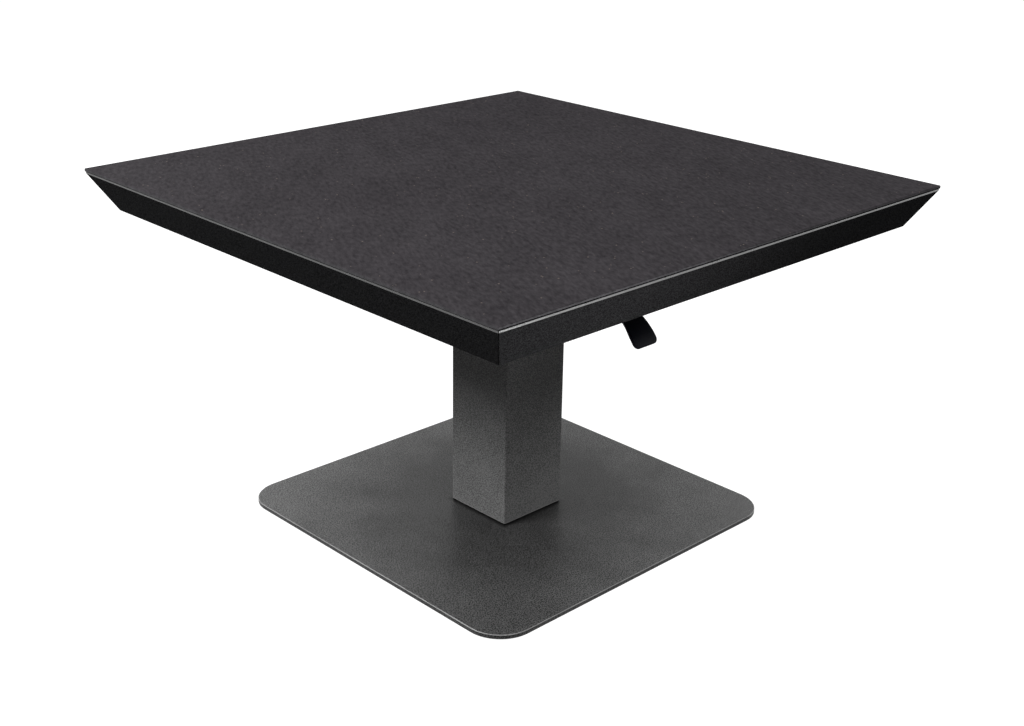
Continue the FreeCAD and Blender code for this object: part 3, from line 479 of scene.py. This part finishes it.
nodes_of_slot = {
    "stone_panel": ("top_slab",),
    "joint_black": ("bonding_sheet",),
    "board": ("core_board",),
    "rail_finish": ("front_rail", "right_rail", "back_rail", "left_rail"),
    "powder_coat": ("base_plate", "inner_tube", "outer_sleeve"),
    "black_steel": ("mounting_plate", "release_bracket", "lever_arm"),
    "pad_rubber": ("glide_pads",),
    "glide_plastic": ("upper_glide", "lower_glide", "pivot_spacers", "rod_guide"),
    "plated_steel": (
        "tube_foot", "foot_bolts", "cylinder_nut", "plate_screws", "bracket_screws", "rod_nuts",
        "pivot_pin", "pivot_clips", "lever_rivets", "corner_keys",
    ),
    "bright_steel": ("piston_rod", "valve_pin", "piston"),
    "cylinder_paint": ("gas_cylinder",),
    "handle_plastic": ("lever_paddle",),
}
for slot_name, members in nodes_of_slot.items():
    for member in members:
        for material_slot in nodes[member].material_slots:
            material_slot.material = finish_of_node.get(member, finish_of_slot[slot_name])


# ---------------------------------------------------------------- small pieces

def placed(name, shape, material):
    """Turns a bmesh into an object of the scene, with one material."""
    mesh = bpy.data.meshes.new(name)
    shape.to_mesh(mesh)
    shape.free()
    mesh.materials.append(material)
    made = bpy.data.objects.new(name, mesh)
    bpy.context.scene.collection.objects.link(made)
    return made


def piece(name, body, slot_name, shape, finish=None, instead_of=()):
    """Makes a named piece from a filled bmesh, gives it its finish and lets it ride on a body."""
    bmesh.ops.recalc_face_normals(shape, faces=shape.faces)
    made = placed(name, shape, finish or finish_of_slot[slot_name])
    for face in made.data.polygons:
        face.use_smooth = True
    made.data.set_sharp_from_angle(angle=math.radians(35))
    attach(made, body)
    if instead_of:
        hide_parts(*instead_of)


def loft(shape, rings, closed=False):
    """Skins rings of equally many points; the two ends are capped, or joined to each other."""
    loops = [[shape.verts.new(point) for point in points] for points in rings]
    pairs = list(zip(loops, loops[1:]))
    if closed:
        pairs.append((loops[-1], loops[0]))
    else:
        shape.faces.new(loops[0])
        shape.faces.new(loops[-1])
    for near, far in pairs:
        for step in range(len(near)):
            following = (step + 1) % len(near)
            shape.faces.new((near[step], near[following], far[following], far[step]))


facets = 48
round_turns = [math.tau * step / facets for step in range(facets)]


def ring(centre, height, reach):
    """Level ring of points about a centre; reach is a radius, or gives one for a direction."""
    reaches = [reach(turn) if callable(reach) else reach for turn in round_turns]
    return [
        (centre[0] + far * math.cos(turn), centre[1] + far * math.sin(turn), height)
        for turn, far in zip(round_turns, reaches)
    ]


def hexagon(flats):
    """Reach of a hexagon's outline in a direction."""
    return lambda turn: flats / 2 / math.cos((turn % (math.pi / 3)) - math.pi / 6)


def four_corners(reach):
    """Corners of a level square about the column, one after the other."""
    return (-reach, -reach), (reach, -reach), (reach, reach), (-reach, reach)


def thread_rings(centre, low, high, crest, pitch):
    """Rings up a threaded shank: one helical groove, shallow at both ends."""
    depth = pitch * 0.45
    rings_per_turn = 6
    steps = max(int((high - low) / pitch * rings_per_turn), 2)
    rings = []
    for step in range(steps + 1):
        height = low + (high - low) * step / steps
        fade = min(1.0, step / rings_per_turn, (steps - step) / rings_per_turn)

        def reach(turn, height=height, fade=fade):
            wave = abs(((height / pitch - turn / math.tau) % 1.0) * 2 - 1)
            return crest - depth * fade * wave

        rings.append(ring(centre, height, reach))
    return rings


screw_flats, screw_head = 0.010, 0.004


def add_plate_screw(shape, centre, seat, tip):
    """Screw that points up: chamfered hexagon head with a washer face, then a thread."""
    shank, pitch = 0.003, 0.0018
    flats, head = screw_flats, screw_head
    dished, rim, crown, washer = flats * 0.30, flats * 0.36, flats * 0.46, flats * 0.48
    low = seat - head
    loft(shape, [
        ring(centre, low + head * 0.12, dished),
        ring(centre, low, rim),
        ring(centre, low, crown),
        ring(centre, low + head * 0.16, hexagon(flats * 0.995)),
        ring(centre, low + head * 0.84, hexagon(flats)),
        ring(centre, low + head * 0.86, washer),
        ring(centre, seat, washer),
        *thread_rings(centre, seat, tip - shank, shank, pitch),
        ring(centre, tip, shank * 0.2),
    ])


def make_plate_screws():
    """Four screws from the mounting plate up into the board."""
    shape = bmesh.new()
    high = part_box("plate_screws")[1]
    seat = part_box("mounting_plate")[0].z
    for centre in four_corners(high.y - screw_flats / 2):
        add_plate_screw(shape, centre, seat, high.z)
    piece("plate_screws_cut", "top", "plated_steel", shape, instead_of=["plate_screws"])


def make_bracket_screws():
    """Two screws that hold the release bracket."""
    shape = bmesh.new()
    low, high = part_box("bracket_screws")
    reach = high.x - screw_flats / math.sqrt(3)
    for across in (-reach, reach):
        add_plate_screw(shape, (across, (low.y + high.y) / 2), low.z + screw_head, high.z)
    piece("bracket_screws_cut", "top", "plated_steel", shape, instead_of=["bracket_screws"])


def make_foot_bolts():
    """Countersunk bolts with hexagon sockets, seen from under the base plate."""
    head, shank, key, pitch = 0.008, 0.004, 0.005, 0.00125
    socket_depth, drill_depth, drill_end, arris = 0.0034, 0.0042, 0.0004, 0.0003
    shape = bmesh.new()
    low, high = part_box("foot_bolts")
    neck = low.z + head - shank
    for centre in four_corners(high.x - head):
        loft(shape, [
            ring(centre, low.z + drill_depth, drill_end),
            ring(centre, low.z + socket_depth, hexagon(key * 0.98)),
            ring(centre, low.z + arris, hexagon(key)),
            ring(centre, low.z, hexagon(key * 1.1)),
            ring(centre, low.z, head * 0.96),
            ring(centre, low.z + arris, head - arris),
            ring(centre, neck, shank),
            *thread_rings(centre, neck + 0.001, high.z, shank, pitch),
        ])
    piece("foot_bolts_cut", "base", "plated_steel", shape, instead_of=["foot_bolts"])


def weld_section(swell, sunk):
    """Outline across the bead, as distances out from the sleeve and up from the plate."""
    section = [(-sunk, sunk), (swell, sunk)]
    for share in range(7):
        turn = math.radians(15 * share)
        hollow = 1.0 - 0.34 * math.sin(turn * 2)
        section.append((swell * math.cos(turn) * hollow, -swell * math.sin(turn) * hollow))
    section.append((-sunk, -swell))
    return section


def make_column_weld():
    """Rippled fillet weld between the sleeve's upper end and the mounting plate."""
    bend, leg, sunk, ripple, steps = 0.0025, 0.0042, 0.0002, 0.0028, 620
    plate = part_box("mounting_plate")[0].z
    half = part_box("outer_sleeve")[1].x
    straight = (half - bend) * 2
    side_run = straight + bend * math.pi / 2
    rings = []
    for step in range(steps):
        run = side_run * 4 * step / steps
        side, along = divmod(run, side_run)
        if along < straight:
            foot = Vector((half, along - straight / 2, 0.0))
            outward = Vector((1.0, 0.0, 0.0))
        else:
            turn = (along - straight) / bend
            outward = Vector((math.cos(turn), math.sin(turn), 0.0))
            foot = Vector((half - bend, half - bend, 0.0)) + outward * bend
        quarter = Matrix.Rotation(side * math.pi / 2, 3, "Z")
        foot, outward = quarter @ foot, quarter @ outward
        wave = (run / ripple) % 1.0
        uneven = math.sin(run * 61) * math.sin(run * 23)
        swell = leg * (0.94 + 0.10 * wave ** 0.6 + 0.05 * uneven)
        rings.append([
            foot + outward * out + Vector((0.0, 0.0, plate + up))
            for out, up in weld_section(swell, sunk)
        ])
    shape = bmesh.new()
    loft(shape, rings, closed=True)
    piece("column_weld", "top", "powder_coat", shape, finish=weld_coat)


def between(stops, share):
    """Smooth curve through equally spaced stops, at a share of 0 to 1 of its length."""
    place = share * (len(stops) - 1)
    start = min(int(place), len(stops) - 2)
    step = place - start
    before, near, far, after = (
        Vector(stops[min(max(start + shift, 0), len(stops) - 1)]) for shift in (-1, 0, 1, 2)
    )
    return (
        near * 2 + (far - before) * step
        + (before * 2 - near * 5 + far * 4 - after) * step ** 2
        + (near * 3 - before - far * 3 + after) * step ** 3
    ) / 2


def handle_spine(end_y, end_z, slope, neck):
    """Middle line of the handle: along, up, width and thickness at each step to its tip."""
    stops = [  # distance inward of the plate's end, drop below its line, width, thickness
        (neck, 0.0, 0.018, 0.017),
        (0.0, 0.0, 0.018, 0.016),
        (-0.02864, 0.0, 0.0326, 0.006),
        (-0.04726, 0.0021, 0.037, 0.005),
        (-0.06086, 0.0093, 0.042, 0.005),
        (-0.0716, 0.0178, 0.043, 0.004),
    ]
    stops = [
        (end_y + inward, end_z + inward * slope - drop, width, thick)
        for inward, drop, width, thick in stops
    ]
    shares = [step / 60 for step in range(58)]
    shares += [0.955, 0.962, 0.97, 0.978, 0.985, 0.991, 0.996, 1.0]  # close steps round the tip
    return [between(stops, share) for share in shares]


def handle_ring(spine, step, corner, rim):
    """Outline across the handle at one step, narrowed and thinned round the tip."""
    widest_edge = 0.0028
    along, up, width, thick = spine[step]
    near, far = spine[max(step - 1, 0)], spine[min(step + 1, len(spine) - 1)]
    run = Vector((far[0] - near[0], far[1] - near[1])).normalized()
    lift = Vector((-run.y, run.x)) if run.x > 0 else Vector((run.y, -run.x))
    left = (Vector(spine[-1][:2]) - Vector((along, up))).length
    inset = max(0.0, corner - left)
    half_width = width / 2 - corner + math.sqrt(max(corner ** 2 - inset ** 2, 0.0))
    inset = max(0.0, rim - left)
    half_thick = thick / 2 * math.sqrt(max(1.0 - (inset / rim) ** 2 * 0.8, 0.0))
    edge = min(half_thick * 0.9, widest_edge)
    points = []
    for turn in round_turns:
        across, rise = math.cos(turn), math.sin(turn)
        raised = math.copysign(half_thick - edge, rise) + edge * rise
        points.append(Vector((
            math.copysign(half_width - edge, across) + edge * across,
            along + lift.x * raised,
            up + lift.y * raised,
        )))
    return points


def make_handle():
    """Moulded handle: a neck with a socket for the lever plate, then a turned-down blade."""
    rivet, set_back, slope = 0.002, 0.010, 70 / 150
    neck, socket_depth, socket_wide, socket_high = 0.038, 0.0375, 0.0031, 0.0051
    corner, rim = 0.008, 0.0016
    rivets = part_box("lever_rivets")[0]
    end_y = rivets.y + rivet - set_back
    end_z = rivets.z + rivet - set_back * slope
    spine = handle_spine(end_y, end_z, slope, neck)
    rings = [handle_ring(spine, step, corner, rim) for step in range(len(spine))]
    socket = []
    for depth in (socket_depth, 0.0):
        along, up = end_y + neck - depth, end_z + (neck - depth) * slope
        outline = []
        for turn in round_turns:
            across, rise = math.cos(turn), math.sin(turn)
            grow = 1.0 / max(abs(across), abs(rise))
            outline.append(Vector((
                across * grow * socket_wide, along, up + rise * grow * socket_high,
            )))
        socket.append(outline)
    lip = [inner.lerp(outer, 0.92) for inner, outer in zip(socket[1], rings[0])]
    shape = bmesh.new()
    loft(shape, [*socket, lip, *rings])
    piece("handle_moulded", "lever", "handle_plastic", shape, instead_of=["lever_paddle"])


def make_rivets():
    """Domed rivets through the handle's neck."""
    shank, head, dome, dimple = 0.002, 0.0034, 0.0011, 0.0002
    low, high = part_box("lever_rivets")
    turns = [math.radians(step * 15) for step in range(1, 7)]
    domed = [(-high.x - dome, dimple)]
    domed += [(-high.x - dome * math.cos(turn), head * math.sin(turn)) for turn in turns]
    profile = [*domed, (-high.x, shank), (high.x, shank)]
    profile += [(-out, reach) for out, reach in reversed(domed)]
    shape = bmesh.new()
    for along, up in ((low.y + shank, low.z + shank), (high.y - shank, high.z - shank)):
        loft(shape, [
            [
                (out, along + reach * math.cos(turn), up + reach * math.sin(turn))
                for turn in round_turns
            ]
            for out, reach in profile
        ])
    piece("lever_rivets_domed", "lever", "plated_steel", shape, instead_of=["lever_rivets"])


# ---------------------------------------------------------------- floor, light and camera

def make_floor():
    """Pale studio floor that stays white to the eye and still takes the soft shadow."""
    half_side, fade_middle, fade_width = 24.0, 4.5, 5.0
    paper = Finish(
        "studio_paper", Base_Color=grey(0.25), Roughness=0.9, Specular_IOR_Level=0.0
    )
    across, along = paper.parts(paper.place())[:2]
    distance = (across * across + along * along) ** 0.5
    white = paper.blend(distance.above(fade_middle, fade_width), grey(0.95), grey(1.0))
    glow = paper.node("ShaderNodeEmission", {}, {"Color": white, "Strength": paper.in_sight()})
    lit = Signal(paper, paper.shader.outputs[0])
    both = paper.node("ShaderNodeAddShader", {}, {0: lit, 1: glow})
    end = paper.tree.nodes["Material Output"]
    paper.tree.links.new(both.socket, end.inputs["Surface"])
    shape = bmesh.new()
    corners = [shape.verts.new((*corner, 0.0)) for corner in four_corners(half_side)]
    shape.faces.new(corners)
    floor = placed("studio_floor", shape, paper.material)


def make_world(level):
    """White all round to the eye and in reflections, dimmer as a light."""
    world = bpy.data.worlds.new("studio")
    bpy.context.scene.world = world
    world.use_nodes = True
    sky = Graph(world.node_tree)
    backdrop = sky.tree.nodes["Background"]
    backdrop.inputs["Color"].default_value = grey(1.0)
    inputs = {"Value": sky.in_sight(), "To Min": level, "To Max": 1.0}
    strength = sky.node("ShaderNodeMapRange", {}, inputs)
    sky.tree.links.new(strength.socket, backdrop.inputs["Strength"])


lamps = [  # name, place, where it points, width, height, power, spread in degrees
    ("key", (-2.7, 1.25, 2.60), (0.0, 0.0, 0.15), 1.4, 0.9, 185.0, 180.0),
    ("front", (-0.5, -2.95, 2.80), (0.0, 0.0, 0.15), 1.4, 0.9, 68.0, 180.0),
    ("right_front", (2.3, -2.3, 1.9), (0.0, 0.0, 0.3), 1.2, 1.2, 22.0, 180.0),
    ("right", (3.4, 0.4, 0.9), (0.0, 0.0, 0.25), 1.6, 1.2, 40.0, 180.0),
    ("behind", (0.6, 3.4, 0.9), (0.0, 0.0, 0.25), 1.6, 1.2, 40.0, 180.0),
    ("low_front", (-0.12, -1.05, 0.06), (-0.30, -0.38, 0.46), 0.3, 0.2, 1.1, 60.0),
]


def add_lamp(name, place, aim, width, height, power, spread):
    """Soft rectangular lamp at a place, turned to what it lights."""
    lamp = bpy.data.lights.new(name, "AREA")
    lamp.shape = "RECTANGLE"
    lamp.size = width
    lamp.size_y = height
    lamp.energy = power
    lamp.spread = math.radians(spread)
    holder = bpy.data.objects.new(name, lamp)
    bpy.context.scene.collection.objects.link(holder)
    holder.location = place
    holder.rotation_euler = (Vector(aim) - Vector(place)).to_track_quat("-Z", "Y").to_euler()


def make_camera():
    """Camera in front of the left corner of the table, a little tilted."""
    azimuth, elevation, roll = (math.radians(turn) for turn in (-44.184, 21.996, 0.937))
    place = (-1.30846, -1.35414, 0.98144)
    back = Vector((
        math.sin(azimuth) * math.cos(elevation),
        -math.cos(azimuth) * math.cos(elevation),
        math.sin(elevation),
    ))
    level = Vector((math.cos(azimuth), math.sin(azimuth), 0.0))
    upright = back.cross(level)
    right = level * math.cos(roll) + upright * math.sin(roll)
    up = upright * math.cos(roll) - level * math.sin(roll)
    lens = bpy.data.cameras.new("camera")
    lens.lens = 51.41
    lens.sensor_width = 36.0
    lens.clip_end = 100.0
    camera = bpy.data.objects.new("camera", lens)
    bpy.context.scene.collection.objects.link(camera)
    turn = Matrix((right, up, back)).transposed()
    camera.matrix_world = Matrix.Translation(place) @ turn.to_4x4()
    bpy.context.scene.camera = camera


make_plate_screws()
make_bracket_screws()
make_foot_bolts()
make_column_weld()
make_handle()
make_rivets()
make_floor()
make_world(level=0.06)
for lamp in lamps:
    add_lamp(*lamp)
make_camera()
bpy.context.scene.view_settings.view_transform = "Standard"
